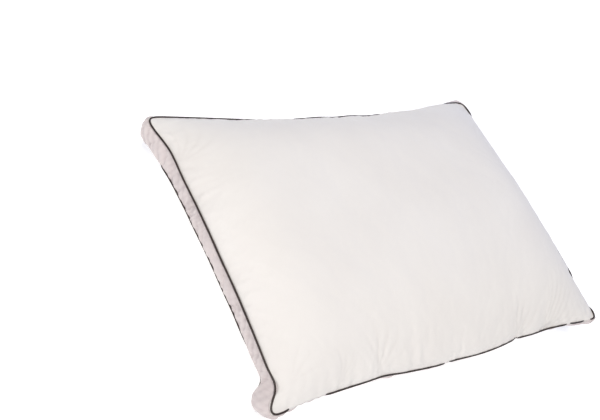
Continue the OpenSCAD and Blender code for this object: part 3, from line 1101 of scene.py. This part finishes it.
def every(pitch, line, *directions):
    """The line and its directions at equal steps of about that pitch, all the way round."""
    closed = np.concatenate([line, line[:1]])
    run = np.concatenate([[0], np.cumsum(np.linalg.norm(np.diff(closed, axis=0), axis=1))])
    places = np.linspace(0, run[-1], round(run[-1] / pitch), endpoint=False)
    found = []
    for values in (line, *directions):
        values = np.concatenate([values, values[:1]])
        found.append(np.stack([np.interp(places, run, values[:, k]) for k in range(3)], -1))
    return found


PLY_PITCH = 0.0005

thread_finish, tree, shader = new_finish("sewing thread")
cloth = cloth_measures(tree)
ply_waves = {"Vector": cloth, "Scale": WAVE_UNITS / PLY_PITCH}
ply = add_node(tree, "ShaderNodeTexWave", ply_waves, bands_direction="DIAGONAL").outputs["Fac"]
tree.links.new(two_colours(tree, ply, (0.80, 0.79, 0.78), (0.92, 0.92, 0.91)), shader.inputs["Base Color"])
tree.links.new(raised(tree, ply, 0.00005, 0.6), shader.inputs["Normal"])
shader.inputs["Roughness"].default_value = 0.45
shader.inputs["Sheen Weight"].default_value = 0.2

# %% [markdown]
# Each seam has one row of lockstitches through panel, piping and gusset, inside the casing.

# %% Rows of stitches in the seams
SEWN_BEHIND = 0.0016

for side, (line, forward, outward, across) in seam_lines.items():
    sewn, ahead, out, up = every(STITCH_PITCH, line, forward, outward, across)
    sewn = sewn - SEWN_BEHIND * out + (FLANGE_HALF + THREAD_R) * up
    row = stitch_row(side + "_seam_stitches", sewn, unit(ahead), unit(up))
    hand_in(row, side + "_seam_thread", thread_finish)

# %% [markdown]
# The gusset strips are joined by a short seam at the middle of each long side, which shows as a row
# of small stitches down the inner face.

# %% Stitches of the gusset's joins
JOIN_SEWN_BEHIND = 0.0012

wall_points = fine_wall - wall_facing * JOIN_SEWN_BEHIND
join_rows = []
for column in (front_join, back_join):
    share = np.linspace(0.08, 0.92, round(gusset_h / STITCH_PITCH))
    rows = share * (fine_wall.shape[1] - 1)
    low = np.floor(rows).astype(int)
    part = (rows - low)[:, None]
    centres = wall_points[column, low] * (1 - part) + wall_points[column, low + 1] * part
    down = unit(wall_points[column, low + 1] - wall_points[column, low])
    join_rows.append((centres, down, -wall_facing[column, low]))
centres, down, inward = (np.concatenate(parts) for parts in zip(*join_rows))
joins = stitch_row("gusset_join_stitches", centres, down, inward)
hand_in(joins, "gusset_join_threads", thread_finish)

# %% [markdown]
# The slot that the filling went in by is closed by hand or by one row of the machine, on the end
# that nobody looks at. Its stitches lie on the outside of the gusset, just above the lower seam.

# %% Closing stitches
CLOSING_LONGER = 1.4
CLOSING_THICKER = 1.3
CLOSING_SLANT = np.array([0.0, 1.0, 0.22])

closing_low, closing_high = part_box("closing_stitches")
closing_share = (top_seam_z - (closing_low.z + closing_high.z) / 2) / gusset_h

closing_y = np.arange(closing_low.y, closing_high.y, STITCH_PITCH * CLOSING_LONGER)
end_columns = around[2 * cells_x:2 * (cells_x + cells_y)]
row = closing_share * (fine_wall.shape[1] - 1)
low = int(row)
end_line = fine_wall[end_columns, low] * (low + 1 - row) + fine_wall[end_columns, low + 1] * (row - low)
end_facing = wall_facing[end_columns, low]
centres = np.stack([np.interp(closing_y, end_line[:, 1], end_line[:, k]) for k in range(3)], -1)
outward = unit(np.stack([np.interp(closing_y, end_line[:, 1], end_facing[:, k]) for k in range(3)], -1))
slant = unit(CLOSING_SLANT - outward * (outward @ CLOSING_SLANT)[:, None])
closing = stitch_row(
    "closing_row", centres, slant, outward, CLOSING_LONGER * STITCH_LENGTH, CLOSING_THICKER * THREAD_R
)
hand_in(closing, "closing_stitches", thread_finish)

# %% [markdown]
# The care label is a blank folded tape, caught in the lower seam near one corner of the far end.
# Its profile comes out under the piping, hangs down, folds and goes back up.

# %% Care label
label_low, label_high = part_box("care_label")
label_w = label_high.y - label_low.y
label_drop = label_high.z - label_low.z
TAPE_THICKNESS = 0.00025
FOLD_R = 0.0006

line, forward, outward, across = seam_lines["bottom"]
on_end = outline[:, 0].max() - 0.001 < fine_outline[:, 0]
middle = int(np.argmin(np.where(on_end, np.abs(fine_outline[:, 1] - (label_low.y + label_high.y) / 2), 1)))
root, out = line[middle], unit(outward[middle] * np.array([1, 1, 0]))
sideways = np.cross(np.array([0, 0, 1.0]), out)
below = cover_r + 2 * TAPE_THICKNESS
fold_angle = np.linspace(0, -np.pi, 7)[1:-1]
hang = np.linspace(0.15, 1, 9)
outer = np.stack([0.0012 + 0.0022 * np.sin(2.4 * hang), -below - (label_drop - FOLD_R) * hang], -1)
tip = outer[-1]
inner = outer[::-1] - np.array([2 * FOLD_R, 0])
fold_arc = tip + FOLD_R * np.stack([np.cos(fold_angle) - 1, np.sin(fold_angle)], -1)
tape_profile = np.concatenate([
    [(-FLANGE, -0.0009), (-0.001, -below)],
    outer,
    fold_arc,
    inner,
    [(-0.0026, -below - 0.0012), (-FLANGE, -0.0016)],
])
spread = np.linspace(-label_w / 2, label_w / 2, 15)
curl = 0.0012 * (2 * spread / label_w) ** 2
drop_share = np.clip(-tape_profile[:, 1] / label_drop, 0, 1)
points = (
    root + spread[:, None, None] * sideways
    + (tape_profile[None, :, :1] - (curl[:, None] * drop_share[None])[..., None]) * out
    + tape_profile[None, :, 1:] * np.array([0, 0, 1.0])
)
index = grid_index(points)
tape_run = np.concatenate([[0], np.cumsum(np.linalg.norm(np.diff(tape_profile, axis=0), axis=1))])
cloth_place = np.stack(np.meshgrid(spread, tape_run, indexing="ij"), -1).reshape(-1, 2)
label = new_piece("folded_label", points.reshape(-1, 3), grid_faces(index), cloth_place)
cloth_thickness(label, TAPE_THICKNESS)

label_finish, tree, shader = new_finish("label tape")
cloth = cloth_measures(tree)
TAPE_RIB = 0.0004
tape_waves = {"Vector": cloth, "Scale": WAVE_UNITS / TAPE_RIB}
ribs = add_node(tree, "ShaderNodeTexWave", tape_waves, bands_direction="Y").outputs["Fac"]
tree.links.new(two_colours(tree, ribs, (0.84, 0.84, 0.85), (0.93, 0.93, 0.93)), shader.inputs["Base Color"])
tree.links.new(raised(tree, ribs, 0.00005, 0.5), shader.inputs["Normal"])
shader.inputs["Roughness"].default_value = 0.4
hand_in(label, "care_label", label_finish)
print(f"label tape {label_w:.3f} by {tape_run[-1]:.3f} m")

# %% [markdown]
# The filling. Down lies in soft clumps against the cloth, so this piece is the casing's own shape,
# drawn in by a few millimetres and by a little more between the clumps. It is one closed lump.

# %% Down filling
CLEAR = 0.0025
CLUMP_DEPTH = 0.004

corner_points = casing[casing_faces]
face_normal = np.cross(corner_points[:, 2] - corner_points[:, 0], corner_points[:, 3] - corner_points[:, 1])
inward_sum = np.zeros_like(casing)
for corner in range(4):
    np.add.at(inward_sum, casing_faces[:, corner], -face_normal)
inward = unit(inward_sum)
rng = np.random.default_rng(11)
waves = rng.normal(0, 75, (40, 3))
phases = rng.uniform(0, 2 * np.pi, 40)
clumps = np.sin(casing @ waves.T + phases).mean(1)
clumps = (clumps - clumps.min()) / (clumps.max() - clumps.min())
lump_points = casing + inward * (CLEAR + CLUMP_DEPTH * clumps)[:, None]
down = new_piece("down_lumps", lump_points, casing_faces, marks={"clump": clumps})

down_finish, tree, shader = new_finish("down")
place = add_node(tree, "ShaderNodeTexCoord").outputs["Object"]
fluff = noise(tree, place, 160.0, 6.0, 0.6)
down_white = two_colours(tree, fluff, (0.70, 0.67, 0.61), (0.90, 0.88, 0.84), 0.3, 0.7)
tree.links.new(down_white, shader.inputs["Base Color"])
tree.links.new(raised(tree, fluff, 0.003, 0.7), shader.inputs["Normal"])
shader.inputs["Roughness"].default_value = 1.0
shader.inputs["Sheen Weight"].default_value = 0.5
hand_in(down, "down_fill", down_finish)
